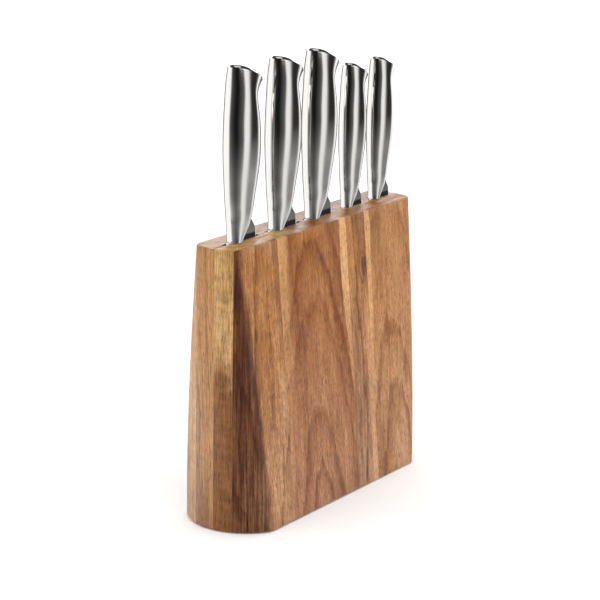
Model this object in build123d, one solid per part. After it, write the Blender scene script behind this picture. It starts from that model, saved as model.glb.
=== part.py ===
"""Free-standing wooden knife block with five hollow-handled knives.

Frame: millimetres, origin on the surface the block stands on, under the middle of its base.
+X runs along the row of knives, +Y from the front face to the back face, +Z up.
The blades hang point down with their flats parallel to the long faces, spine towards -X
and cutting edge towards +X.
"""
from build123d import *
from collections import namedtuple
import os

# ---- block ---------------------------------------------------------------------------------
BLOCK_LENGTH = 251.4
BLOCK_HEIGHT = 220.0
BASE_THICKNESS = 81.6
TOP_THICKNESS = 40.4
END_RADIUS = 46.0        # plan radius of the two rounded ends
CORNER_RADIUS = 9.0      # softening where a rounded end meets a sloping face
RIM_CHAMFER = 0.6        # eased edge round the top and the base

SLOT_WIDTH = 3.4         # thickness of the strips that hold the two halves apart
OUTER_GLUE_Y = 17.0      # glue plane between inner boards and outer staves

# glue joints between edge-glued staves, along X
FRONT_OUTER_JOINTS = (-71.0, 23.0, 50.0)
FRONT_INNER_JOINTS = (-38.0, 44.0)
BACK_INNER_JOINTS = (-52.0, 31.0)
BACK_OUTER_JOINTS = (-80.0, -22.0, 57.0)

FOOT_HEIGHT = 1.2
FOOT_RADIUS = 6.0
FOOT_X = 84.0
FOOT_Y = 25.0

BLOCK_TOP = FOOT_HEIGHT + BLOCK_HEIGHT
MARGIN = 20.0            # how far cutting tools reach past what they cut
TALL = 160.0             # a cutting box taller than a handle

# ---- knives --------------------------------------------------------------------------------
BLADE_THICKNESS = 2.2
EDGE_THICKNESS = 0.3
SEAT_GAP = 0.3           # bolster above the top of the block, at rest
TANG_LENGTH = 18.0
TANG_WIDTH = 0.36        # share of the heel's width
TANG_OFFSET = 0.2        # where it starts, as a share of the heel's width
TANG_THICKNESS = 0.8     # share of the blade's thickness
BOLSTER_HEIGHT = 28.0    # on a large handle, from the block to the welded shells
PLATE_THICKNESS = 3.8    # thin heel of the bolster, just too thick for the slot
SHELL_WALL = 1.0
SCALLOP_PITCH = 7.0      # bread knife
SCALLOP_DEPTH = 1.3

Handle = namedtuple("Handle", "length width thickness heel")
LARGE = Handle(length=1.0, width=1.0, thickness=1.0, heel=34.4)
SMALL = Handle(length=0.87, width=0.81, thickness=0.78, heel=25.6)

# x is where the handle's spine line starts, slot is the slot's two ends along X,
# blade_u is where the blade's spine lies from x
Knife = namedtuple("Knife", "name x slot handle blade_u blade_width blade_length")
KNIVES = (
    Knife("cook", -107.2, (-111.9, -66.2), LARGE, 0.7, 39.0, 200.0),
    Knife("santoku", -53.1, (-55.4, -9.9), LARGE, 0.7, 41.0, 175.0),
    Knife("bread", -3.4, (-5.0, 32.0), LARGE, 0.7, 33.0, 200.0),
    Knife("utility", 47.9, (49.2, 73.8), SMALL, 2.5, 22.0, 130.0),
    Knife("paring", 88.8, (90.0, 114.5), SMALL, 2.5, 21.0, 90.0),
)

# sections of a large handle: height above the block, spine edge and belly edge from x, half thickness
HANDLE_SECTIONS = (
    (14.0, 0.5, 30.4, 6.2),
    (20.0, 1.3, 27.2, 7.6),
    (28.0, 2.2, 26.2, 9.0),
    (44.0, 1.7, 28.7, 10.6),
    (58.0, 0.6, 31.6, 11.7),
    (76.0, 0.0, 34.0, 12.3),
    (92.0, 0.1, 32.9, 11.8),
    (104.0, 0.6, 30.4, 10.9),
    (110.0, 0.9, 30.8, 10.4),
    (115.0, 1.2, 35.5, 10.1),
    (120.0, 1.6, 43.5, 9.8),
    (136.0, 3.0, 47.0, 9.0),
)
HEEL_SECTIONS = ((0.0, 0.8, 4.4), (8.0, 0.0, 5.4))   # height, spine edge, half thickness
BUTT_ARC = ((-2.0, 134.2), (22.0, 130.6), (43.0, 117.8))  # sloping end of the handle, side view
SHOULDER = ((12.0, -0.5), (31.5, 15.0))  # oblique lower edge of the bolster's cheeks
RAMP_RUN = 3.0           # how far the ramp under that edge takes to reach the plate
RAMP_SLOPE = 1.2


# ---- block ---------------------------------------------------------------------------------
def block_envelope():
    """The finished outside of the block: rounded ends, long faces planed to a slope."""
    half_length = BLOCK_LENGTH / 2
    end_x = half_length - END_RADIUS
    plan = make_face(
        Polyline((-end_x, -END_RADIUS), (end_x, -END_RADIUS))
        + RadiusArc((end_x, -END_RADIUS), (end_x, END_RADIUS), -END_RADIUS)
        + Polyline((end_x, END_RADIUS), (-end_x, END_RADIUS))
        + RadiusArc((-end_x, END_RADIUS), (-end_x, -END_RADIUS), -END_RADIUS)
    )
    prism = extrude(plan, BLOCK_HEIGHT)
    taper = Plane.YZ * Polygon(
        (-BASE_THICKNESS / 2, 0), (BASE_THICKNESS / 2, 0),
        (TOP_THICKNESS / 2, BLOCK_HEIGHT), (-TOP_THICKNESS / 2, BLOCK_HEIGHT), align=None)
    body = prism & extrude(taper, BLOCK_LENGTH, both=True)
    upright = [e for e in body.edges() if abs((e @ 0).Z - (e @ 1).Z) > BLOCK_HEIGHT / 2]
    body = fillet(upright, CORNER_RADIUS)
    level = [e for e in body.edges() if abs((e @ 0).Z - (e @ 1).Z) < 0.01]
    body = chamfer(level, RIM_CHAMFER)
    return Pos(0, 0, FOOT_HEIGHT) * body


def slab(x_low, x_high, y_low, y_high):
    """A cutting box over the block's whole height."""
    box = Box(x_high - x_low, y_high - y_low, BLOCK_HEIGHT + 2 * MARGIN)
    return Pos((x_low + x_high) / 2, (y_low + y_high) / 2, FOOT_HEIGHT + BLOCK_HEIGHT / 2) * box


def cut_layer(envelope, label, joints, y_low, y_high):
    """One layer of the block, as its edge-glued staves from -X to +X."""
    end = BLOCK_LENGTH / 2 + MARGIN
    bounds = (-end, *joints, end)
    return {
        f"{label}_{i + 1}": envelope & slab(bounds[i], bounds[i + 1], y_low, y_high)
        for i in range(len(bounds) - 1)
    }


def slot_strips(envelope):
    """The strips between the slots, which also close the block's two ends."""
    end = BLOCK_LENGTH / 2 + MARGIN
    starts = [-end] + [knife.slot[1] for knife in KNIVES]
    stops = [knife.slot[0] for knife in KNIVES] + [end]
    half = SLOT_WIDTH / 2
    return {
        f"slot_strip_{i + 1}": envelope & slab(start, stop, -half, half)
        for i, (start, stop) in enumerate(zip(starts, stops))
    }


def rubber_feet():
    """Four thin stick-on pads under the base."""
    pad = Pos(0, 0, FOOT_HEIGHT / 2) * Cylinder(FOOT_RADIUS, FOOT_HEIGHT)
    return Compound([
        Pos(sx * FOOT_X, sy * FOOT_Y, 0) * pad for sx in (-1, 1) for sy in (-1, 1)
    ])


def block_nodes():
    envelope = block_envelope()
    half = SLOT_WIDTH / 2
    far = BASE_THICKNESS
    nodes = {}
    nodes.update(cut_layer(envelope, "front_stave", FRONT_OUTER_JOINTS, -far, -OUTER_GLUE_Y))
    nodes.update(cut_layer(envelope, "front_inner_board", FRONT_INNER_JOINTS, -OUTER_GLUE_Y, -half))
    nodes.update(slot_strips(envelope))
    nodes.update(cut_layer(envelope, "back_inner_board", BACK_INNER_JOINTS, half, OUTER_GLUE_Y))
    nodes.update(cut_layer(envelope, "back_stave", BACK_OUTER_JOINTS, OUTER_GLUE_Y, far))
    nodes["rubber_feet"] = rubber_feet()
    return nodes


# ---- blades, drawn with the bolster's underside at height 0 and the spine at 0 ---------------
def outline(*curves):
    face = make_face(Curve() + list(curves))
    return Plane.XZ * face


def cook_profile(width, length):
    tip = (0.30 * width, -length)
    spine = Polyline((0, 0), (0, -0.62 * length))
    drop = Spline((0, -0.62 * length), tip, tangents=((0, -1), (0.30, -1)))
    belly = Spline(tip, (0.80 * width, -0.72 * length), (width, -0.30 * length),
                   tangents=((0.75, 1), (0, 1)))
    heel = Polyline((width, -0.30 * length), (width, -4.0), (width - 4.0, 0), (0, 0))
    return outline(spine, drop, belly, heel)


def santoku_profile(width, length):
    tip = (width - 1.5, -length)
    spine = Polyline((0, 0), (0, -0.72 * length))
    nose = Spline((0, -0.72 * length), tip, tangents=((0, -1), (1, -0.12)))
    edge = Spline(tip, (width, -0.45 * length), tangents=((0.15, 1), (0, 1)))
    heel = Polyline((width, -0.45 * length), (width, -4.0), (width - 4.0, 0), (0, 0))
    return outline(spine, nose, edge, heel)


def bread_profile(width, length):
    nose_start = -length + 0.8 * width
    scallops = int((-nose_start - 12.0) / SCALLOP_PITCH)
    edge_points = [(width, nose_start + i * SCALLOP_PITCH) for i in range(scallops + 1)]
    curves = [Polyline((0, 0), (0, nose_start))]
    curves.append(Spline((0, nose_start), (0.55 * width, -length), edge_points[0],
                         tangents=((0, -1), (0.12, 1))))
    for low, high in zip(edge_points, edge_points[1:]):
        middle = (width - SCALLOP_DEPTH, (low[1] + high[1]) / 2)
        curves.append(ThreePointArc(low, middle, high))
    curves.append(Polyline(edge_points[-1], (width, -2.0), (width - 2.0, 0), (0, 0)))
    return outline(*curves)


def small_profile(width, length):
    tip = (0.42 * width, -length)
    spine = Polyline((0, 0), (0, -0.55 * length))
    drop = Spline((0, -0.55 * length), tip, tangents=((0, -1), (0.25, -1)))
    belly = Spline(tip, (width, -0.40 * length), tangents=((0.65, 1), (0, 1)))
    heel = Polyline((width, -0.40 * length), (width, -2.0), (width - 2.0, 0), (0, 0))
    return outline(spine, drop, belly, heel)


PROFILES = {
    "cook": cook_profile, "santoku": santoku_profile, "bread": bread_profile,
    "utility": small_profile, "paring": small_profile,
}


def flat_grind(width, length):
    """A wedge in plan, full thickness at the spine and thin at the cutting edge."""
    spine = BLADE_THICKNESS / 2
    edge = EDGE_THICKNESS / 2
    plan = Polygon((0, -spine), (width, -edge), (width, edge), (0, spine), align=None)
    return Pos(0, 0, -length - MARGIN) * extrude(plan, length + 2 * MARGIN)


def tang(knife):
    """The short tongue that is welded into the bolster."""
    heel = knife.handle.heel
    shape = Box(TANG_WIDTH * heel, TANG_THICKNESS * BLADE_THICKNESS,
                TANG_LENGTH * knife.handle.length, align=(Align.MIN, Align.CENTER, Align.MIN))
    return Pos(knife.x + TANG_OFFSET * heel, 0, BLOCK_TOP + SEAT_GAP) * shape


def blade(knife):
    profile = PROFILES[knife.name](knife.blade_width, knife.blade_length)
    grind = flat_grind(knife.blade_width, knife.blade_length)
    steel = extrude(profile, BLADE_THICKNESS, both=True) & grind
    return Pos(knife.x + knife.blade_u, 0, BLOCK_TOP + SEAT_GAP) * steel + tang(knife)


# ---- handles -------------------------------------------------------------------------------
def handle_sections(handle):
    """Height, spine edge, belly edge and half thickness of each section of this handle."""
    heel = [(z * handle.length, spine, handle.heel, half * handle.thickness)
            for z, spine, half in HEEL_SECTIONS]
    rest = [(z * handle.length, spine * handle.width, belly * handle.width, half * handle.thickness)
            for z, spine, belly, half in HANDLE_SECTIONS]
    return heel + rest


def handle_loft(sections, wall=0.0):
    ellipses = [
        Plane(((spine + belly) / 2, 0, z)) * Ellipse((belly - spine) / 2 - wall, half - wall)
        for z, spine, belly, half in sections
    ]
    return loft(ellipses)


def butt_limit(handle, drop=0.0):
    """Everything below the handle's sloping butt end."""
    points = [(x * handle.width, z * handle.length - drop) for x, z in BUTT_ARC]
    (x_low, z_low), _, (x_high, z_high) = points
    profile = make_face(
        ThreePointArc(*points)
        + Polyline(points[2], (x_high + MARGIN, z_high), (x_high + MARGIN, -MARGIN),
                   (x_low - MARGIN, -MARGIN), (x_low - MARGIN, z_low), points[0])
    )
    return extrude(Plane.XZ * profile, MARGIN, both=True)


def heel_relief(handle):
    """The two ramps that thin the bolster's heel to a plate, one on each side."""
    low, high = [Vector(x * handle.width, 0, z * handle.length) for x, z in SHOULDER]
    along = (high - low).normalized()
    downhill = Vector(along.Z, 0, -along.X)
    plate = PLATE_THICKNESS / 2
    shoulder = plate + RAMP_RUN * RAMP_SLOPE
    back = MARGIN - shoulder
    ramp = Plane(origin=low, x_dir=downhill, z_dir=along) * Polygon(
        (RAMP_RUN, plate), (TALL, plate), (TALL, MARGIN),
        (-back / RAMP_SLOPE, MARGIN), align=None)
    far_side = extrude(ramp, TALL, both=True)
    return far_side + mirror(far_side, Plane.XZ)


def handle_nodes(knife):
    handle = knife.handle
    sections = handle_sections(handle)
    seam_z = BOLSTER_HEIGHT * handle.length
    outside = handle_loft(sections) & butt_limit(handle)
    hollow = handle_loft(sections, SHELL_WALL) & butt_limit(handle, SHELL_WALL)
    below = Pos(0, 0, seam_z - TALL / 2) * Box(TALL, TALL, TALL)
    place = Pos(knife.x, 0, BLOCK_TOP + SEAT_GAP)
    bolster = (outside & below) - heel_relief(handle)
    shell = outside - below - hollow
    front_half = Box(TALL, TALL, 2 * TALL, align=(Align.CENTER, Align.MAX, Align.CENTER))
    front_shell = shell & front_half
    return {
        f"{knife.name}_bolster": place * bolster - tang(knife),
        f"{knife.name}_handle_front_shell": place * front_shell,
        f"{knife.name}_handle_back_shell": place * mirror(front_shell, Plane.XZ),
    }


def knife_nodes(knife):
    nodes = {f"{knife.name}_blade": blade(knife)}
    nodes.update(handle_nodes(knife))
    return nodes


def main():
    os.makedirs("parts", exist_ok=True)
    nodes = block_nodes()
    for knife in KNIVES:
        nodes.update(knife_nodes(knife))
    for name, shape in nodes.items():
        shape.label = name
        export_step(shape, f"parts/{name}.step")
        print(f"{name:28s} {shape.volume / 1000:8.2f} cm3  valid {shape.is_valid}")


main()
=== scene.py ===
import math
import bmesh
import bpy
import numpy as np
from mathutils import Matrix, Vector


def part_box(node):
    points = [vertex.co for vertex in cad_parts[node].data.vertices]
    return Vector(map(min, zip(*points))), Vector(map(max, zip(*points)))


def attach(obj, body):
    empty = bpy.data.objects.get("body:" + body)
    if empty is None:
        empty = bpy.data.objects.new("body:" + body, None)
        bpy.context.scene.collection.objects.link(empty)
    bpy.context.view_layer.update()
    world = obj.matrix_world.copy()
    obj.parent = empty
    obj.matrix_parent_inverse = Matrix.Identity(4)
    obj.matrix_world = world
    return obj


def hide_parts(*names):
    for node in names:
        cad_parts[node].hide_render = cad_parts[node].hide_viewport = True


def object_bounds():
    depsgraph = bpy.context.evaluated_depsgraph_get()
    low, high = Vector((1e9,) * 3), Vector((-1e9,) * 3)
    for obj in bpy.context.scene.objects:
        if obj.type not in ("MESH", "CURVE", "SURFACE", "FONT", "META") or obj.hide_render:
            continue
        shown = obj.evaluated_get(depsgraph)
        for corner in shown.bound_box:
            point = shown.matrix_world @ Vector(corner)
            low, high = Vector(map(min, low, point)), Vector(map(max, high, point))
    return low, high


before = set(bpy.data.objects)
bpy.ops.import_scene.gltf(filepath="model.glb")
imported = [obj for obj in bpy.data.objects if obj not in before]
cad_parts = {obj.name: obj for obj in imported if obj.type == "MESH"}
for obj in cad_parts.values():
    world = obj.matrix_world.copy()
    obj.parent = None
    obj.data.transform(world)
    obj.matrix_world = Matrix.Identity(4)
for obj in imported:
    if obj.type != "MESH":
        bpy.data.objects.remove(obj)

cad_low, cad_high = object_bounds()
MM = 0.001


# ---- camera ----------------------------------------------------------------------------------
# A long lens, a little above the object and turned towards its rounded end, so that the end,
# the front face, the top and all five handles show.
CAMERA_TURN = math.radians(56.0)
CAMERA_PITCH = math.radians(14.84)
CAMERA_ROLL = math.radians(0.824)
CAMERA_DISTANCE = 1839.8 * MM
CAMERA_ASIDE = -4.83 * MM
CAMERA_ABOVE = 42.87 * MM
CAMERA_LENS = 138.75     # in mm, on a sensor this wide
CAMERA_SENSOR = 36.0
CAMERA_REACH = 50.0

block_low, block_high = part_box("front_stave_1")
block_centre = Vector((0, 0, (block_low.z + block_high.z) / 2))
ahead = Vector((math.sin(CAMERA_TURN) * math.cos(CAMERA_PITCH),
                math.cos(CAMERA_TURN) * math.cos(CAMERA_PITCH), -math.sin(CAMERA_PITCH)))
aside = Vector((math.cos(CAMERA_TURN), -math.sin(CAMERA_TURN), 0))
above = aside.cross(ahead)
camera_data = bpy.data.cameras.new("camera")
camera_data.sensor_width = CAMERA_SENSOR
camera_data.lens = CAMERA_LENS
camera_data.clip_end = CAMERA_REACH
camera = bpy.data.objects.new("camera", camera_data)
camera.location = (block_centre + CAMERA_ASIDE * aside + CAMERA_ABOVE * above
                   - CAMERA_DISTANCE * ahead)
tilted_up = above * math.cos(CAMERA_ROLL) - aside * math.sin(CAMERA_ROLL)
tilted_aside = aside * math.cos(CAMERA_ROLL) + above * math.sin(CAMERA_ROLL)
turned = Matrix((tilted_aside, tilted_up, -ahead)).transposed()
camera.rotation_euler = turned.to_euler()
bpy.context.scene.collection.objects.link(camera)
bpy.context.scene.camera = camera
bpy.context.scene.view_settings.view_transform = "Standard"


# ---- floor and light -------------------------------------------------------------------------
# A pale matt studio table that runs on out of sight, a large softbox overhead, a weaker one in
# front, and an even pale room.
def linear(colour):
    """An sRGB hex colour as linear red, green, blue and alpha."""
    parts = [int(colour[i:i + 2], 16) / 255 for i in (1, 3, 5)]
    return [p / 12.92 if p <= 0.04045 else ((p + 0.055) / 1.055) ** 2.4 for p in parts] + [1.0]


def add(tree, kind, inputs=None, **settings):
    """Adds a node, with its settings and with a value or a node's first output for each input."""
    node = tree.nodes.new(kind)
    for name, value in settings.items():
        setattr(node, name, value)
    for socket, value in (inputs or {}).items():
        if isinstance(value, bpy.types.Node):
            value = value.outputs[0]
        if isinstance(value, bpy.types.NodeSocket):
            tree.links.new(value, node.inputs[socket])
        else:
            node.inputs[socket].default_value = value
    return node


def new_material(name):
    """An empty node material."""
    material = bpy.data.materials.new(name)
    material.use_nodes = True
    material.node_tree.nodes.clear()
    return material, material.node_tree


def new_object(name, mesh):
    """An object at the origin that holds a finished mesh."""
    piece = bpy.data.objects.new(name, mesh)
    bpy.context.scene.collection.objects.link(piece)
    return piece


FLOOR_HALF = 9.0
FLOOR_COLOUR = "#fcfcfc"
FLOOR_ROUGHNESS = 0.9

floor_mesh = bpy.data.meshes.new("floor")
floor_mesh.from_pydata([(x * FLOOR_HALF, y * FLOOR_HALF, cad_low.z)
                        for x, y in ((-1, -1), (1, -1), (1, 1), (-1, 1))], [], [(0, 1, 2, 3)])
floor = new_object("floor", floor_mesh)
# a matt painted table top, which shows a soft shadow and no reflection
floor_material, tree = new_material("matt_studio_table")
shader = add(tree, "ShaderNodeBsdfPrincipled", {"Base Color": linear(FLOOR_COLOUR),
                                                "Roughness": FLOOR_ROUGHNESS})
add(tree, "ShaderNodeOutputMaterial", {"Surface": shader})
floor_mesh.materials.append(floor_material)
floor.visible_glossy = False

# what the polished handles mirror: a ring of lit and unlit panels, which only reflections see
SURROUND_RADIUS = 3.0
SURROUND_LOW = -4.0
SURROUND_HIGH = 4.0
SURROUND_SIDES = 160
# angle from the camera towards its right, and how bright the ring is there: level with the
# object, and lower down, where the lit table would show between the panels
SURROUND_BANDS = (
    (-180, 0.10), (-152, 0.12), (-140, 0.70), (-128, 1.50), (-66, 1.50), (-58, 0.95), (-50, 0.25),
    (-42, 0.11), (-28, 0.065), (-12, 0.028), (4, 0.010), (16, 0.018), (28, 0.06), (44, 0.12),
    (51, 0.30), (56, 1.05), (63, 1.30), (76, 1.15), (84, 0.35), (92, 0.045), (110, 0.030),
    (122, 0.05), (128, 0.50), (135, 1.55), (155, 1.20), (180, 0.10),
)
FOOT_BANDS = (
    (-180, 0.15), (-152, 0.20), (-140, 0.80), (-128, 1.45), (-62, 1.45), (-52, 1.00), (-44, 0.66),
    (-34, 0.54), (-24, 0.40), (-12, 0.30), (2, 0.21), (12, 0.20), (24, 0.26), (36, 0.36),
    (46, 0.66), (54, 1.05), (63, 1.10), (78, 0.95), (90, 0.74), (102, 0.70), (114, 0.72),
    (124, 0.80), (135, 0.95), (155, 0.85), (180, 0.15),
)
RAMP_WHITE = 4.0         # how bright the ring is where its ramp is white
FOOT_FROM = -0.20        # the lower row of panels takes over between these heights
FOOT_TO = -1.05
LEAST_FROM = -1.20       # still further down the upper row comes back, but for this share
LEAST_TO = -1.60
LEAST_SHARE = 0.25
DARK_BELOW = -2.2        # the ring fades below and above these heights, over DARK_RUN
DARK_ABOVE = 1.5
DARK_RUN = 0.7
DARK_SHARE = 0.06
BACKDROP_LIGHT = 3.4     # high behind the object, what the top of the block mirrors
BACKDROP_LOW = 0.35      # the backdrop fades in between these heights
BACKDROP_HIGH = 0.80
BACKDROP_OUTER = 0.30    # and between these shares of a turn from the camera
BACKDROP_INNER = 0.38

surround_mesh = bpy.data.meshes.new("studio_surround")
ring = bmesh.new()
bmesh.ops.create_cone(ring, cap_ends=True, segments=SURROUND_SIDES, radius1=SURROUND_RADIUS,
                      radius2=SURROUND_RADIUS, depth=SURROUND_HIGH - SURROUND_LOW)
bmesh.ops.translate(ring, verts=ring.verts, vec=(0, 0, (SURROUND_HIGH + SURROUND_LOW) / 2))
ring.to_mesh(surround_mesh)
ring.free()
surround = new_object("studio_surround", surround_mesh)
# white panels and black flags, whose soft edges draw the upright bands on the steel
surround_material, tree = new_material("lit_and_unlit_panels")
place = add(tree, "ShaderNodeSeparateXYZ", {0: add(tree, "ShaderNodeTexCoord").outputs["Object"]})
bearing = add(tree, "ShaderNodeMath", {0: place.outputs[1], 1: place.outputs[0]},
              operation="ARCTAN2")
camera_bearing = math.atan2(-ahead.y, -ahead.x)
bearing = add(tree, "ShaderNodeMath", {0: bearing, 1: math.pi - camera_bearing}, operation="ADD")
share = add(tree, "ShaderNodeMath", {0: bearing, 1: 1 / math.tau}, operation="MULTIPLY")
share = add(tree, "ShaderNodeMath", {0: share}, operation="FRACT")
rows = []
for panels in (SURROUND_BANDS, FOOT_BANDS):
    bands = add(tree, "ShaderNodeValToRGB", {0: share})
    for spare in range(len(panels) - 2):
        bands.color_ramp.elements.new(0.5)
    # a ramp sorts its stops whenever one is moved, so the colours are set afterwards
    for element, (angle, bright) in zip(bands.color_ramp.elements, panels):
        element.position = angle / 360 + 0.5
    for element, (angle, bright) in zip(bands.color_ramp.elements, panels):
        grey = bright / RAMP_WHITE
        element.color = (grey, grey, grey, 1)
    rows.append(bands)
down = add(tree, "ShaderNodeMapRange", {0: place.outputs[2], 1: FOOT_FROM, 2: FOOT_TO})
least = add(tree, "ShaderNodeMapRange", {0: place.outputs[2], 1: LEAST_FROM, 2: LEAST_TO, 3: 1.0,
                                         4: LEAST_SHARE})
down = add(tree, "ShaderNodeMath", {0: down, 1: least}, operation="MULTIPLY")
lit = add(tree, "ShaderNodeMix", {0: down, 6: rows[0], 7: rows[1]}, data_type="RGBA").outputs[2]
behind = add(tree, "ShaderNodeMath", {0: share, 1: 0.5}, operation="SUBTRACT")
behind = add(tree, "ShaderNodeMath", {0: behind}, operation="ABSOLUTE")
behind = add(tree, "ShaderNodeMapRange", {0: behind, 1: BACKDROP_OUTER, 2: BACKDROP_INNER})
high_up = add(tree, "ShaderNodeMapRange", {0: place.outputs[2], 1: BACKDROP_LOW,
                                            2: BACKDROP_HIGH})
behind = add(tree, "ShaderNodeMath", {0: behind, 1: high_up}, operation="MULTIPLY")
behind = add(tree, "ShaderNodeMath", {0: behind, 1: BACKDROP_LIGHT / RAMP_WHITE},
             operation="MULTIPLY")
lit = add(tree, "ShaderNodeMath", {0: lit, 1: behind}, operation="MAXIMUM")
for level, end in ((DARK_BELOW, DARK_BELOW - DARK_RUN), (DARK_ABOVE, DARK_ABOVE + DARK_RUN)):
    fade = add(tree, "ShaderNodeMapRange", {0: place.outputs[2], 1: level, 2: end, 3: 1.0,
                                            4: DARK_SHARE})
    lit = add(tree, "ShaderNodeMath", {0: lit, 1: fade}, operation="MULTIPLY")
glow = add(tree, "ShaderNodeEmission", {"Color": lit, "Strength": RAMP_WHITE})
add(tree, "ShaderNodeOutputMaterial", {"Surface": glow})
surround_mesh.materials.append(surround_material)
surround.visible_camera = False
surround.visible_diffuse = False
surround.visible_shadow = False
surround.visible_transmission = False

ROOM_COLOUR = "#ffffff"
ROOM_LIGHT = 1.18

world = bpy.data.worlds.new("pale_room")
bpy.context.scene.world = world
world.use_nodes = True
world.node_tree.nodes["Background"].inputs["Color"].default_value = linear(ROOM_COLOUR)
world.node_tree.nodes["Background"].inputs["Strength"].default_value = ROOM_LIGHT

SOFTBOX_WIDE = 1.2
SOFTBOX_AIM = Vector((0, 0, 0.1))
# name, where it hangs, and its power in watts
SOFTBOXES = (
    ("overhead_softbox", (-0.2, -0.3, 1.7), 4.0),
    ("front_softbox", (-0.3, -1.9, 1.1), 2.0),
)
for name, spot, power in SOFTBOXES:
    lamp_data = bpy.data.lights.new(name, "AREA")
    lamp_data.shape = "SQUARE"
    lamp_data.size = SOFTBOX_WIDE
    lamp_data.energy = power
    lamp = bpy.data.objects.new(name, lamp_data)
    lamp.location = spot
    lamp.rotation_mode = "QUATERNION"
    lamp.rotation_quaternion = (SOFTBOX_AIM - Vector(spot)).to_track_quat("-Z", "Y")
    bpy.context.scene.collection.objects.link(lamp)


# ---- acacia staves of the block --------------------------------------------------------------
# The block is two halves with slots between them, each half an inner board and an outer layer,
# and each layer is edge-glued from solid acacia staves with the grain upright. Planed to its
# slope, sanded, eased along its rims and oiled. Every stave has its own growth rings: brown
# heartwood in cone-shaped rings that show as arches, and a pale sapwood edge on some.
NOISE_LEAST = 0.25       # nearly all of a noise texture lies between these values
NOISE_MOST = 0.75
SEED_STEP = (7.3, 3.1, 11.7)
# streaks: width and length in mm, then the least and the most of what they change, then detail
RING_BENDS = (34, 120, -7, 7)
RING_WAVERS = (7, 45, -1.8, 1.8, 3.0)
FOOT_WAVES = (18, 40, -22, 22)
EDGE_WAVES = (9, 60, -2.0, 2.0)
EDGE_FIBRES = (1.6, 45, 0.62, 1.14)
SHEEN = (5, 60, 0.34, 0.48)          # the roughness of the oiled face
PORE = (0.45, 7.0)
TONE_STREAKS = ((22, 160, 0.42), (5, 110, 0.30), (1.6, 60, 0.36))   # width, length and depth
TONE_LIGHTER = 0.3       # streaks lighten the wood by this share of what they darken it
TONE_DETAIL = 3.0
# how dark the wood is across a growth ring, from early wood to late wood
RING_START = 0.1
RING_TONES = ((0.50, 0.30), (0.86, 1.0))
YEAR_LEAST = 0.12        # depth of colour of the palest and the darkest year
YEAR_MOST = 0.62
FINE_LINES = 37.0        # fine lines within a ring, in radians of their wave, and their depth
FINE_DEPTH = 0.05
MIDDLE_TONE = 0.42       # where the middle colour lies between light and dark
FOOT_FADE = 18           # the foot's colour takes over this far above and below its level
PAINTED_LIGHT_FROM = 20.0          # painted light: from this height up to the top the colour warms and deepens, away from a paler, lighter foot that stands in for sheen and light from the pale table
PAINTED_LIGHT_SATURATION = (1.00, 1.16)
PAINTED_LIGHT_VALUE = (1.12, 0.98)
RIBBON = (11, 5)         # width and length in mm of the ribbons of interlocked grain
RIBBON_DEPTH = 0.2
FIBRE = (0.6, 18)        # the same of bundles of fibres
FIBRE_DARKER = 0.26
FIBRE_LIGHTER = 0.22
FIBRE_PLAIN = 0.8        # strength of the fibres in plain wood, and how much curl adds
FIBRE_CURLED = 0.6
PORE_FROM = 0.60         # how much of the noise becomes pores
PORE_TO = 0.78
PORE_DEPTH = -0.55
KNOT_TALL = 0.4          # a knot is stretched along the grain to 1 / KNOT_TALL of its width
KNOT_REACH = 2.2         # how far the rings bend round it, in knot sizes
KNOT_CORE = (0.62, 0.86)  # its dark middle fades in between these; 0 is its rim, 1 its centre
KNOT_DEPTH = -0.55
SLOT_SHADE = 0.05        # how light the slots' walls are, and how deep that colour goes
SLOT_SKIN = 0.06
GRAIN_DEPTH = 0.08 * MM
GRAIN_BUMP = 0.35


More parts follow.
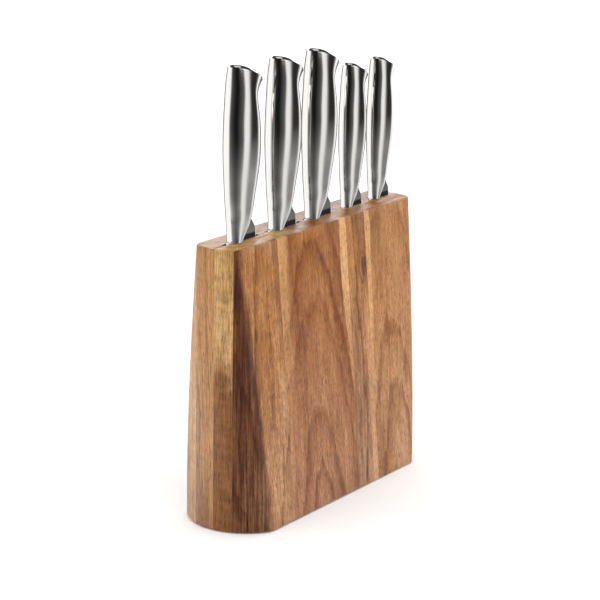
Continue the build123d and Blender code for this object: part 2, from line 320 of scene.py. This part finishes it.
def acacia(name, light, middle, dark, pith, ring, slope=0.25, lean=0.0, curl=0.3, contrast=1.0,
           edges=(), knot=None, foot=None, slot_half=0.0, seed=0.0):
    """Acacia, sanded and oiled, so warm, with a low uneven sheen.

    pith is the x and y of the rings' centre at half height, and ring their width, in mm."""
    material, tree = new_material(name)
    here = add(tree, "ShaderNodeTexCoord").outputs["Object"]
    here = add(tree, "ShaderNodeVectorMath", {0: here, 3: 1 / MM}, operation="SCALE")
    x, y, z = add(tree, "ShaderNodeSeparateXYZ", {0: here}).outputs

    def streaks(width, length, low=0.0, high=1.0, detail=2.0):
        """Uneven upright streaks of about this width and length in mm."""
        place = add(tree, "ShaderNodeMapping", {0: here, 1: [seed * step for step in SEED_STEP],
                                                3: (1 / width, 1 / width, 1 / length)})
        uneven = add(tree, "ShaderNodeTexNoise", {"Vector": place, "Scale": 1.0, "Detail": detail})
        return add(tree, "ShaderNodeMapRange", {0: uneven, 1: NOISE_LEAST, 2: NOISE_MOST, 3: low,
                                                4: high})

    # growth rings: distance from a pith line that leans, bent by slow waves and round a knot
    top = (block_low.z + block_high.z) / MM
    lean_by, slope_by = lean * top / 2, slope * top / 2
    across = add(tree, "ShaderNodeMapRange", {0: z, 1: 0.0, 2: top, 3: pith[0] - lean_by,
                                              4: pith[0] + lean_by})
    across = add(tree, "ShaderNodeMath", {0: x, 1: across}, operation="SUBTRACT")
    across = add(tree, "ShaderNodeMath", {0: across, 1: streaks(*RING_BENDS)}, operation="ADD")
    deep = add(tree, "ShaderNodeMapRange", {0: z, 1: 0.0, 2: top, 3: pith[1] - slope_by,
                                            4: pith[1] + slope_by})
    deep = add(tree, "ShaderNodeMath", {0: y, 1: deep}, operation="SUBTRACT")
    flat = add(tree, "ShaderNodeCombineXYZ", {0: across, 1: deep})
    radius = add(tree, "ShaderNodeVectorMath", {0: flat}, operation="LENGTH").outputs["Value"]
    radius = add(tree, "ShaderNodeMath", {0: radius, 1: streaks(*RING_WAVERS)}, operation="ADD")
    if knot:
        knot_x, knot_z, knot_size, knot_pull = knot
        eye = add(tree, "ShaderNodeVectorMath", {0: here, 1: (knot_x, 0, knot_z)},
                  operation="SUBTRACT")
        eye = add(tree, "ShaderNodeVectorMath",
                  {0: eye, 1: (1 / knot_size, 0, KNOT_TALL / knot_size)}, operation="MULTIPLY")
        eye = add(tree, "ShaderNodeVectorMath", {0: eye}, operation="LENGTH").outputs["Value"]
        eye = add(tree, "ShaderNodeMapRange", {0: eye, 1: KNOT_REACH, 2: 0.0},
                  interpolation_type="SMOOTHSTEP")
        radius = add(tree, "ShaderNodeMath", {0: eye, 1: knot_pull, 2: radius},
                     operation="MULTIPLY_ADD")
    count = add(tree, "ShaderNodeMath", {0: radius, 1: ring}, operation="DIVIDE")
    part = add(tree, "ShaderNodeMath", {0: count}, operation="FRACT")
    late = add(tree, "ShaderNodeValToRGB", {0: part})
    for position, grey in RING_TONES:
        late.color_ramp.elements.new(position).color = (grey, grey, grey, 1)
    for end in (0, -1):
        late.color_ramp.elements[end].color = (RING_START, RING_START, RING_START, 1)
    # no two years are alike, so each ring has its own depth of colour
    year = add(tree, "ShaderNodeMath", {0: count}, operation="FLOOR")
    year = add(tree, "ShaderNodeTexWhiteNoise", {"W": year}, noise_dimensions="1D").outputs["Value"]
    year = add(tree, "ShaderNodeMapRange", {0: year, 3: YEAR_LEAST * contrast,
                                            4: YEAR_MOST * contrast})
    tone = add(tree, "ShaderNodeMath", {0: late, 1: year}, operation="MULTIPLY")
    fine = add(tree, "ShaderNodeMath", {0: count, 1: FINE_LINES}, operation="MULTIPLY")
    fine = add(tree, "ShaderNodeMath", {0: fine}, operation="SINE")
    tone = add(tree, "ShaderNodeMath", {0: fine, 1: FINE_DEPTH, 2: tone}, operation="MULTIPLY_ADD")
    for width, length, depth in TONE_STREAKS:
        streak = streaks(width, length, -TONE_LIGHTER * depth, depth, TONE_DETAIL)
        tone = add(tree, "ShaderNodeMath", {0: tone, 1: streak}, operation="ADD")
    wood = add(tree, "ShaderNodeValToRGB", {0: tone})
    wood.color_ramp.elements.new(MIDDLE_TONE).color = linear(middle)
    wood.color_ramp.elements[0].color = linear(light)
    wood.color_ramp.elements[-1].color = linear(dark)
    colour = wood.outputs[0]

    # the wood changes colour below a wavy level
    if foot:
        level, foot_colour, strength = foot
        wavy = add(tree, "ShaderNodeMath", {0: z, 1: streaks(*FOOT_WAVES)}, operation="ADD")
        low = add(tree, "ShaderNodeMapRange", {0: wavy, 1: level + FOOT_FADE, 2: level - FOOT_FADE,
                                               4: strength})
        colour = add(tree, "ShaderNodeMix", {0: low, 6: colour, 7: linear(foot_colour)},
                     data_type="RGBA").outputs[2]

    # sapwood or dark heartwood along an edge, with its width and strength at a low and a high
    # level, and on the first front stave's end also painted shade
    for edge, (low_z, low_width, low_share), (high_z, high_width, high_share), tint, soft in edges:
        wide = add(tree, "ShaderNodeMapRange", {0: z, 1: low_z, 2: high_z, 3: low_width,
                                                4: high_width})
        wide = add(tree, "ShaderNodeMath", {0: wide, 1: streaks(*EDGE_WAVES)}, operation="ADD")
        most = add(tree, "ShaderNodeMapRange", {0: z, 1: low_z, 2: high_z, 3: low_share,
                                                4: high_share})
        gone = add(tree, "ShaderNodeMath", {0: x, 1: edge}, operation="SUBTRACT")
        gone = add(tree, "ShaderNodeMath", {0: gone}, operation="ABSOLUTE")
        left = add(tree, "ShaderNodeMath", {0: wide, 1: gone}, operation="SUBTRACT")
        band = add(tree, "ShaderNodeMapRange", {0: left, 1: -soft / 2, 2: soft / 2},
                   interpolation_type="SMOOTHSTEP")
        band = add(tree, "ShaderNodeMath", {0: band, 1: most}, operation="MULTIPLY")
        band = add(tree, "ShaderNodeMath", {0: band, 1: streaks(*EDGE_FIBRES)},
                   operation="MULTIPLY", use_clamp=True)
        colour = add(tree, "ShaderNodeMix", {0: band, 6: colour, 7: linear(tint)},
                     data_type="RGBA").outputs[2]

    # painted light: the foot is painted paler and lighter, as sheen and light from the pale table
    # below would make it, and the colour deepens and warms from there to the top
    warm = add(tree, "ShaderNodeMapRange", {0: z, 1: PAINTED_LIGHT_FROM, 2: top, 3: PAINTED_LIGHT_SATURATION[0],
                                            4: PAINTED_LIGHT_SATURATION[1]})
    deeper = add(tree, "ShaderNodeMapRange", {0: z, 1: PAINTED_LIGHT_FROM, 2: top, 3: PAINTED_LIGHT_VALUE[0],
                                              4: PAINTED_LIGHT_VALUE[1]})
    colour = add(tree, "ShaderNodeHueSaturation", {"Color": colour, "Saturation": warm,
                                                   "Value": deeper})

    # interlocked grain catches the light in soft cross bands, over fine fibres
    ribbon = streaks(*RIBBON, 1 - RIBBON_DEPTH * curl, 1 + RIBBON_DEPTH * curl)
    coarse = FIBRE_PLAIN + FIBRE_CURLED * curl
    fibre = streaks(*FIBRE, 1 - FIBRE_DARKER * coarse, 1 + FIBRE_LIGHTER * coarse)
    shade = add(tree, "ShaderNodeMath", {0: ribbon, 1: fibre}, operation="MULTIPLY")
    # open pores, about 0.2 mm wide, drawn at twice that so that they show
    pore = add(tree, "ShaderNodeMapRange", {0: streaks(*PORE), 1: PORE_FROM, 2: PORE_TO})
    shade = add(tree, "ShaderNodeMath", {0: pore, 1: PORE_DEPTH, 2: shade},
                operation="MULTIPLY_ADD")
    if knot:
        core = add(tree, "ShaderNodeMapRange", {0: eye, 1: KNOT_CORE[0], 2: KNOT_CORE[1], 3: 0.0,
                                                4: KNOT_DEPTH})
        shade = add(tree, "ShaderNodeMath", {0: shade, 1: core}, operation="ADD")
    # hardly any light gets into the slots, so their walls are drawn nearly black
    if slot_half:
        inside = add(tree, "ShaderNodeMath", {0: y}, operation="ABSOLUTE")
        inside = add(tree, "ShaderNodeMapRange", {0: inside, 1: slot_half, 2: slot_half + SLOT_SKIN,
                                                  3: SLOT_SHADE, 4: 1.0})
        shade = add(tree, "ShaderNodeMath", {0: shade, 1: inside}, operation="MULTIPLY")
    colour = add(tree, "ShaderNodeVectorMath", {0: colour, 3: shade}, operation="SCALE")
    height = add(tree, "ShaderNodeMath", {0: fibre, 1: pore}, operation="SUBTRACT")
    bump = add(tree, "ShaderNodeBump", {"Strength": GRAIN_BUMP, "Distance": GRAIN_DEPTH,
                                        "Height": height})
    wood_shader = add(tree, "ShaderNodeBsdfPrincipled", {"Base Color": colour, "Normal": bump,
                                                         "Roughness": streaks(*SHEEN)})
    add(tree, "ShaderNodeOutputMaterial", {"Surface": wood_shader})
    return material


CREASE = math.radians(30)
JOINED_WITHIN = 1e-6


def smooth_copy(node, name):
    """A CAD node's shape with its triangles joined, smooth on the round and sharp at its edges."""
    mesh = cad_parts[node].data.copy()
    mesh.materials.clear()
    joined = bmesh.new()
    joined.from_mesh(mesh)
    bmesh.ops.remove_doubles(joined, verts=joined.verts, dist=JOINED_WITHIN)
    joined.to_mesh(mesh)
    joined.free()
    mesh.shade_smooth()
    mesh.set_sharp_from_angle(angle=CREASE)
    return new_object(name, mesh)


SAPWOOD = "#d9aa7b"
SLOT_HALF = 1.7
# an edge band: x of the edge, then height, width and strength at a low and a high level, colour
# and softness; a knot: x, z, size and pull on the rings; a foot: level, colour and strength
ACACIA = {
    "front_stave_1": dict(light="#c2966f", middle="#ab784f", dark="#6d3f20", pith=(-40, 90),
                          ring=7.0, slope=0.12, lean=0.04, curl=0.6, seed=1.0,
                          # along the rounded end: dark heartwood, and painted shade where the end
                          # turns away from the light, wider towards the foot
                          edges=((-126.5, (20, 25, 0.85), (205, 10, 1.0), "#491a00", 6),
                                 (-71, (90, 4, 0.1), (215, 8, 0.6), "#7d4a2a", 4))),
    "front_stave_2": dict(light="#b88860", middle="#a06c48", dark="#7c4628", pith=(-30, 11),
                          ring=9.0, slope=0.30, seed=2.0,
                          edges=((-71, (70, 7, 0.0), (205, 13, 0.8), SAPWOOD, 9),
                                 (23, (60, 3, 0.05), (190, 10, 0.95), "#e0b283", 3))),
    "front_stave_3": dict(light="#c0946e", middle="#a57450", dark="#5e3418", pith=(90, 30),
                          ring=6.0, slope=0.08, seed=3.0, knot=(46, 178, 5.0, 11.0),
                          edges=((50, (140, 9, 0.0), (190, 15, 0.50), "#6e3f18", 9),
                                 (50, (128, 7, 0.75), (160, 5, 0.0), "#cf9b75", 4),
                                 (23, (100, 3, 0.1), (170, 9, 0.6), "#c69162", 4))),
    "front_stave_4": dict(light="#c49772", middle="#b38159", dark="#8a5a36", pith=(80, 4), ring=9.5,
                          slope=0.27, seed=4.0,
                          edges=((50, (90, 4, 0.1), (150, 7, 0.85), SAPWOOD, 3),)),
    "front_inner_board_1": dict(light="#d0ac80", middle="#c09a6d", dark="#9a754a",
                                pith=(-60, 60), ring=8.0, slope=0.1, curl=1.0, seed=5.0,
                                foot=(130, "#7c4a22", 0.92)),
    "front_inner_board_2": dict(light="#c08f62", middle="#a87448", dark="#7a4626",
                                pith=(0, 60), ring=11.0, seed=6.0),
    "front_inner_board_3": dict(light="#c79665", middle="#b07c4e", dark="#80502c",
                                pith=(70, 50), ring=10.0, seed=7.0),
    "back_inner_board_1": dict(light="#c3956a", middle="#b08258", dark="#88603a",
                               pith=(-40, 90), ring=7.0, slope=0.1, curl=0.5, seed=8.0,
                               foot=(46, "#8a5c38", 0.7)),
    "back_inner_board_2": dict(light="#c39468", middle="#a87650", dark="#764628",
                               pith=(-5, -40), ring=11.0, seed=9.0),
    "back_inner_board_3": dict(light="#bd8c60", middle="#a06c46", dark="#6c3e22",
                               pith=(60, -40), ring=10.0, seed=10.0),
    "back_stave_1": dict(light="#d2a982", middle="#c2946b", dark="#a67850", pith=(-60, -50),
                         ring=8.0, slope=-0.08, curl=0.4, seed=11.0, contrast=0.8),
    "back_stave_2": dict(light="#b98a60", middle="#9c683f", dark="#6a3a1e", pith=(-52, -8),
                         ring=11.0, slope=-0.28, seed=12.0,
                         edges=((-80, (40, 3, 0.3), (200, 9, 0.9), SAPWOOD, 4),)),
    "back_stave_3": dict(light="#c4926a", middle="#a9744f", dark="#80482c", pith=(18, -12),
                         ring=12.0, slope=-0.25, seed=13.0,
                         edges=((57, (60, 9, 0.9), (200, 4, 0.3), SAPWOOD, 4),)),
    "back_stave_4": dict(light="#bb8457", middle="#9d6238", dark="#5c3018", pith=(160, -60),
                         ring=8.0, slope=-0.1, curl=0.6, seed=14.0),
}
SLOT_STRIP_WOOD = dict(light="#c3956a", middle="#b08258", dark="#88603a", pith=(0, 60), ring=9.0,
                       foot=(160, "#b08056", 0.8))
SLOT_STRIP_SEED = 15.0

WOODEN = ("front_stave", "front_inner_board", "back_stave", "back_inner_board", "slot_strip")
for node in sorted(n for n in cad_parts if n.startswith(WOODEN)):
    if node.startswith("slot_strip"):
        grain = dict(SLOT_STRIP_WOOD, seed=SLOT_STRIP_SEED + int(node[-1]))
    else:
        grain = dict(ACACIA[node], slot_half=SLOT_HALF if "inner" in node else 0.0)
    stave = smooth_copy(node, f"{node}_wood")
    stave.data.materials.append(acacia(f"oiled_acacia_{node}", **grain))
    stave.visible_glossy = False     # the polished handles mirror the studio, not the wood
    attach(stave, "block")
    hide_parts(node)


# ---- rubber feet -----------------------------------------------------------------------------
# Four thin round pads of black rubber, self-adhesive, pressed on under the base.
RUBBER_DARK = "#1b1b1b"
RUBBER_LIGHT = "#2a2a2a"
RUBBER_GRAIN = 0.4 * MM
RUBBER_RELIEF = 0.05 * MM
RUBBER_BUMP = 0.4
RUBBER_ROUGHNESS = 0.75

# moulded rubber, so matt, with a fine even texture that takes any shine off it
feet_material, tree = new_material("moulded_black_rubber")
here = add(tree, "ShaderNodeTexCoord").outputs["Object"]
speckle = add(tree, "ShaderNodeTexNoise", {"Vector": here, "Scale": 1 / RUBBER_GRAIN,
                                           "Detail": 2.0})
bump = add(tree, "ShaderNodeBump", {"Strength": RUBBER_BUMP, "Distance": RUBBER_RELIEF,
                                    "Height": speckle})
tint = add(tree, "ShaderNodeValToRGB", {0: speckle})
tint.color_ramp.elements[0].color = linear(RUBBER_DARK)
tint.color_ramp.elements[-1].color = linear(RUBBER_LIGHT)
shader = add(tree, "ShaderNodeBsdfPrincipled", {"Base Color": tint, "Normal": bump,
                                                "Roughness": RUBBER_ROUGHNESS})
add(tree, "ShaderNodeOutputMaterial", {"Surface": shader})

foot_low, foot_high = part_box("rubber_feet")
PAD_RADIUS = 6.0
PAD_EDGE = 0.25          # how much narrower a pad is at its lower rim
PAD_SIDES = 64
PAD_CREASE = math.radians(40)
# name of the input, and its value in mm
PAD_SIZES = (
    ("Radius", PAD_RADIUS), ("Thickness", (foot_high.z - foot_low.z) / MM), ("Edge", PAD_EDGE),
    ("Spacing X", (foot_high.x - foot_low.x) / MM - 2 * PAD_RADIUS),
    ("Spacing Y", (foot_high.y - foot_low.y) / MM - 2 * PAD_RADIUS),
)
pads_tree = bpy.data.node_groups.new("rubber_pads", "GeometryNodeTree")
sockets = {name: pads_tree.interface.new_socket(name, in_out="INPUT", socket_type="NodeSocketFloat")
           for name, value in PAD_SIZES}
pads_tree.interface.new_socket("Geometry", in_out="OUTPUT", socket_type="NodeSocketGeometry")
size = add(pads_tree, "NodeGroupInput").outputs
corners = add(pads_tree, "GeometryNodeMeshGrid", {0: size["Spacing X"], 1: size["Spacing Y"],
                                                  2: 2, 3: 2})
# a short cylinder, drawn in a little at its lower rim
disc = add(pads_tree, "GeometryNodeMeshCylinder", {0: PAD_SIDES, 1: 1, 2: 1, 3: size["Radius"],
                                                   4: size["Thickness"]})
narrow = add(pads_tree, "ShaderNodeMath", {0: size["Radius"], 1: size["Edge"]},
             operation="SUBTRACT")
rim = add(pads_tree, "ShaderNodeMath", {0: narrow, 1: size["Radius"]}, operation="DIVIDE")
where = add(pads_tree, "GeometryNodeInputPosition")
height = add(pads_tree, "ShaderNodeSeparateXYZ", {0: where}).outputs[2]
lower = add(pads_tree, "FunctionNodeCompare", {0: height, 1: 0.0}, operation="LESS_THAN",
            data_type="FLOAT")
narrower = add(pads_tree, "ShaderNodeCombineXYZ", {0: rim, 1: rim, 2: 1.0})
tucked = add(pads_tree, "ShaderNodeVectorMath", {0: where, 1: narrower}, operation="MULTIPLY")
disc = add(pads_tree, "GeometryNodeSetPosition", {0: disc, 1: lower, 2: tucked})
pads = add(pads_tree, "GeometryNodeInstanceOnPoints", {0: corners, 2: disc})
pads = add(pads_tree, "GeometryNodeRealizeInstances", {0: pads})
pads = add(pads_tree, "GeometryNodeSetMaterial", {0: pads, 2: feet_material})
add(pads_tree, "NodeGroupOutput", {0: pads})

carrier = new_object("rubber_pads_carrier", bpy.data.meshes.new("rubber_pads_carrier"))
growth = carrier.modifiers.new("pads", "NODES")
growth.node_group = pads_tree
for name, value in PAD_SIZES:
    growth[sockets[name].identifier] = value
evaluated = carrier.evaluated_get(bpy.context.evaluated_depsgraph_get())
grown = bpy.data.meshes.new_from_object(evaluated)
carrier.modifiers.remove(growth)
bpy.data.objects.remove(carrier)
grown.transform(Matrix.Translation((foot_low + foot_high) / 2) @ Matrix.Scale(MM, 4))
grown.shade_smooth()
grown.set_sharp_from_angle(angle=PAD_CREASE)
feet = new_object("rubber_pads", grown)
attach(feet, "block")
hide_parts("rubber_feet")


# ---- handles ---------------------------------------------------------------------------------
# Each handle is two pressed stainless steel shells welded to a solid bolster, ground flush so
# that no seam shows, and satin polished round the grip. The bolster's round core thins to a
# plate along the heel, and the butt slopes down to a beak.
STEEL_COLOUR = "#d3d1ce"
POLISH_LENGTH = 14 * MM
POLISH_PITCH = 0.3 * MM
POLISH_CLOUD = 18 * MM
POLISH_RELIEF = 0.03 * MM
POLISH_BUMP = 0.12
LEAST_ROUGH = 0.06
ROUGH_LINES = 0.06       # how much rougher the lines and the cloudy patches are
ROUGH_CLOUD = 0.03

# satin polished stainless steel: it mirrors the room in bands with soft edges
handle_steel, tree = new_material("satin_polished_stainless")
here = add(tree, "ShaderNodeTexCoord").outputs["Object"]
# polishing lines run round the grip, about 0.1 mm apart, drawn at 0.3 mm so that they show
lines = add(tree, "ShaderNodeMapping", {0: here, 3: (1 / POLISH_LENGTH, 1 / POLISH_LENGTH,
                                                     1 / POLISH_PITCH)})
brushed = add(tree, "ShaderNodeTexNoise", {"Vector": lines, "Scale": 1.0, "Detail": 3.0})
cloudy = add(tree, "ShaderNodeTexNoise", {"Vector": here, "Scale": 1 / POLISH_CLOUD, "Detail": 2.0})
bump = add(tree, "ShaderNodeBump", {"Strength": POLISH_BUMP, "Distance": POLISH_RELIEF,
                                    "Height": brushed})
gloss = add(tree, "ShaderNodeMath", {0: brushed, 1: ROUGH_LINES, 2: LEAST_ROUGH},
            operation="MULTIPLY_ADD")
gloss = add(tree, "ShaderNodeMath", {0: cloudy, 1: ROUGH_CLOUD, 2: gloss}, operation="MULTIPLY_ADD")
shader = add(tree, "ShaderNodeBsdfPrincipled", {"Base Color": linear(STEEL_COLOUR), "Metallic": 1.0,
                                                "Roughness": gloss, "Normal": bump})
add(tree, "ShaderNodeOutputMaterial", {"Surface": shader})

# side view of a large handle in mm: height above the bolster's foot, and the edge there
PROFILE_WIDE = 43.0
SPINE = ((0, 4.6), (8, 4.0), (14, 3.6), (20, 3.2), (28, 2.2), (44, 1.2), (58, 0.7), (76, 0.6),
         (92, 0.9), (104, 1.8), (116, 2.8), (126, 3.6), (134, 4.4))
BELLY = ((0, 35.2), (4, 35.4), (8, 34.4), (12, 31.4), (16, 29.0), (20, 28.4), (28, 29.4),
         (44, 33.2), (58, 35.6), (76, 36.0), (92, 34.0), (102, 31.4), (106, 30.9), (110, 32.0),
         (113, 34.8), (115.5, 38.2), (117.2, 41.0))
# how far the thickest part lies from the middle towards the belly
SKEW = ((0, 0.0), (34, 0.0), (56, 0.0), (74, 0.02), (97, 0.10), (116, 0.14), (134, 0.16))
HALF_THICKNESS = ((0, 6.2), (8, 7.3), (14, 8.3), (20, 9.0), (28, 9.5), (44, 10.6), (58, 11.7),
                  (76, 12.3), (92, 12.0), (104, 11.7), (116, 11.6), (126, 11.4), (134, 11.2))
MOST_HALF = max(half for height, half in HALF_THICKNESS)
SPINE_TOP = 133.6
BEAK_TIP = 117.6
TILT_FROM = 96.0         # the sections start to tilt towards the sloping butt here
BUTT_SLOPE = SPINE_TOP - BEAK_TIP
BUTT_DROOP = 1.95        # how the butt's slope steepens from spine to beak
BUTT_ROUNDING = 3.5      # radius of the edge round the butt, smaller towards the beak
BEAK_ROUNDING = 0.6
BUTT_CROWN = 0.4         # how far the butt's face bulges
BEAK_TAPER = 0.55        # how much thinner the butt is at the beak
SQUARENESS = 2.05        # exponent of the section's outline; 2 is an ellipse
# the bolster's round core ends here, and the thin plate of the heel runs on from it
CORE_EDGE = ((0, 14.5), (6, 19.5), (12, 24.0), (20, 27.0), (28, 30.0), (36, 36.0))
CORE_TOP = 34.0
CORE_BLEND = 4           # how tightly the core meets the plate
PLATE_HALF = 1.9
PLATE_FADE = 4.0         # the plate thins to nothing where less than this much of it is left
PLATE_SQUARENESS = 10
PLATE_FLARE = 0.45       # how much the plate thickens at its foot, over FLARE_HEIGHT
FLARE_HEIGHT = 3.5
HANDLE_CREASE = math.radians(38)
AROUND = 192
RINGS_BELOW_TILT = 128
RINGS_IN_TILT = 44
RINGS_ROUND_EDGE = 7
RINGS_ON_BUTT = 7


def through(points, at):
    """A smooth curve through points of (height, value), read at these heights."""
    heights, values = np.array(points, float).T
    slopes = np.gradient(values, heights)
    k = np.clip(np.searchsorted(heights, at) - 1, 0, len(heights) - 2)
    step = heights[k + 1] - heights[k]
    t = np.clip((at - heights[k]) / step, 0, 1)
    return ((2 * t**3 - 3 * t**2 + 1) * values[k] + (t**3 - 2 * t**2 + t) * step * slopes[k]
            + (3 * t**2 - 2 * t**3) * values[k + 1] + (t**3 - t**2) * step * slopes[k + 1])


def handle_mesh(name, low, high, foot):
    """One handle, fitted between its shells' lowest and highest corners, standing at foot."""
    wide = (high.x - low.x) / MM / PROFILE_WIDE
    tall = (high.z - foot) / MM / SPINE_TOP
    thick = (high.y - low.y) / MM / 2 / MOST_HALF
    turn = np.linspace(0, math.tau, AROUND, endpoint=False)
    cosine = np.sign(np.cos(turn)) * np.abs(np.cos(turn)) ** (2 / SQUARENESS)
    sine = np.sign(np.sin(turn)) * np.abs(np.sin(turn)) ** (2 / SQUARENESS)
    upright = np.linspace(0, TILT_FROM, RINGS_BELOW_TILT)
    tilting = np.linspace(0, 1, RINGS_IN_TILT + 1)[1:]
    at_spine = np.append(upright, TILT_FROM + tilting * (SPINE_TOP - BUTT_ROUNDING - TILT_FROM))
    at_belly = np.append(upright, TILT_FROM + tilting * (BEAK_TIP - BEAK_ROUNDING - TILT_FROM))
    rings = []

    def ring_at(spine_height, belly_height, inset=0.0, lift=0.0, shrink=1.0):
        """Adds a ring of points through these heights, drawn in and lifted for the butt."""
        left = through(SPINE, np.array([spine_height]))[0] + inset
        right = through(BELLY, np.array([belly_height]))[0] - inset * BEAK_ROUNDING / BUTT_ROUNDING
        shifted = cosine + through(SKEW, np.array([spine_height])) * sine ** 2
        share = (1 + shifted) / 2
        lift = lift * (1 - share * (1 - BEAK_ROUNDING / BUTT_ROUNDING))
        slant = (spine_height - belly_height) / BUTT_SLOPE
        drop = share ** (1 + (BUTT_DROOP - 1) * min(1, max(0, slant)))
        height = spine_height + (belly_height - spine_height) * drop
        half = through(HALF_THICKNESS, height) - inset
        half = half * (1 - BEAK_TAPER * slant ** 2 * share ** 2)
        centre, reach = (left + right) / 2, (right - left) / 2
        x = centre + reach * shifted * shrink
        y = half * sine * shrink
        if shrink < 1:
            inner = (1 + shifted * shrink) / 2
            height = spine_height + (belly_height - spine_height) * inner ** BUTT_DROOP
        if spine_height < CORE_TOP:
            edge = min(through(CORE_EDGE, np.array([spine_height]))[0], right)
            along = np.clip((x - (edge + left) / 2) / ((edge - left) / 2), -1, 1)
            core = half * (1 - np.abs(along) ** SQUARENESS) ** (1 / SQUARENESS)
            flare = PLATE_FLARE * max(0, 1 - spine_height / FLARE_HEIGHT)
            plate = (PLATE_HALF + flare) / thick * min(1, (right - edge) / PLATE_FADE)
            plate = plate * (1 - np.minimum(np.abs(cosine), 1)
                             ** PLATE_SQUARENESS) ** (1 / PLATE_SQUARENESS)
            both = (core ** CORE_BLEND + plate ** CORE_BLEND) ** (1 / CORE_BLEND)
            y = np.sign(np.round(sine, 9)) * both
        rings.append(np.stack([x * wide, y * thick, (height + lift) * tall], 1))

    for spine_height, belly_height in zip(at_spine, at_belly):
        ring_at(spine_height, belly_height)
    for i in range(1, RINGS_ROUND_EDGE + 1):
        angle = math.pi / 2 * i / RINGS_ROUND_EDGE
        ring_at(at_spine[-1], at_belly[-1], BUTT_ROUNDING * (1 - math.cos(angle)),
                BUTT_ROUNDING * math.sin(angle))
    for i in range(1, RINGS_ON_BUTT + 1):
        crown = BUTT_CROWN * (i / RINGS_ON_BUTT) ** 2
        ring_at(at_spine[-1], at_belly[-1], BUTT_ROUNDING, BUTT_ROUNDING + crown,
                1 - i / (RINGS_ON_BUTT + 0.5))
    points = np.concatenate(rings)
    points = np.vstack([points, rings[0].mean(0), rings[-1].mean(0)])
    points = points * MM + np.array([low.x, 0, foot])
    faces = []
    for start in range(0, (len(rings) - 1) * AROUND, AROUND):
        for i in range(AROUND):
            j = (i + 1) % AROUND
            faces.append((start + i, start + j, start + AROUND + j, start + AROUND + i))
    bottom, top = len(points) - 2, len(points) - 1
    last = (len(rings) - 1) * AROUND
    for i in range(AROUND):
        j = (i + 1) % AROUND
        faces.append((bottom, j, i))
        faces.append((top, last + i, last + j))
    mesh = bpy.data.meshes.new(name)
    mesh.from_pydata(points.tolist(), [], faces)
    mesh.shade_smooth()
    mesh.set_sharp_from_angle(angle=HANDLE_CREASE)
    return mesh


KNIVES = ("cook", "santoku", "bread", "utility", "paring")
for knife in KNIVES:
    low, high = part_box(f"{knife}_handle_front_shell")
    high = Vector((high.x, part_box(f"{knife}_handle_back_shell")[1].y, high.z))
    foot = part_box(f"{knife}_bolster")[0].z
    handle = new_object(f"{knife}_handle", handle_mesh(f"{knife}_handle", low, high, foot))
    handle.data.materials.append(handle_steel)
    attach(handle, f"{knife}_knife")
    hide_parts(f"{knife}_bolster", f"{knife}_handle_front_shell",
                f"{knife}_handle_back_shell")


# ---- blades ----------------------------------------------------------------------------------
# Stamped from stainless strip, flat ground to the edge and finished on a fine belt, whose lines
# run from spine to edge. At rest they are out of sight in the slots.
BLADE_COLOUR = "#cfcecc"
BELT_LENGTH = 40 * MM
BELT_PITCH = 0.8 * MM
BELT_RELIEF = 0.02 * MM
BELT_BUMP = 0.12
BELT_SMOOTH = 0.20       # roughness between the belt's lines, and how much rougher they are
BELT_ROUGHER = 0.16

# belt finished stainless steel: a grey sheen, drawn out along the blade
blade_steel, tree = new_material("belt_finished_stainless")
here = add(tree, "ShaderNodeTexCoord").outputs["Object"]
# belt lines about 0.1 mm apart, drawn at 0.8 mm so that they show
lines = add(tree, "ShaderNodeMapping", {0: here, 3: (1 / BELT_LENGTH, 1 / BELT_LENGTH,
                                                     1 / BELT_PITCH)})
ground = add(tree, "ShaderNodeTexNoise", {"Vector": lines, "Scale": 1.0, "Detail": 3.0})
bump = add(tree, "ShaderNodeBump", {"Strength": BELT_BUMP, "Distance": BELT_RELIEF,
                                    "Height": ground})
gloss = add(tree, "ShaderNodeMath", {0: ground, 1: BELT_ROUGHER, 2: BELT_SMOOTH},
            operation="MULTIPLY_ADD")
shader = add(tree, "ShaderNodeBsdfPrincipled", {"Base Color": linear(BLADE_COLOUR), "Metallic": 1.0,
                                                "Roughness": gloss, "Normal": bump})
add(tree, "ShaderNodeOutputMaterial", {"Surface": shader})
for knife in KNIVES:
    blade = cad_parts[f"{knife}_blade"]
    blade.data.materials.clear()
    blade.data.materials.append(blade_steel)
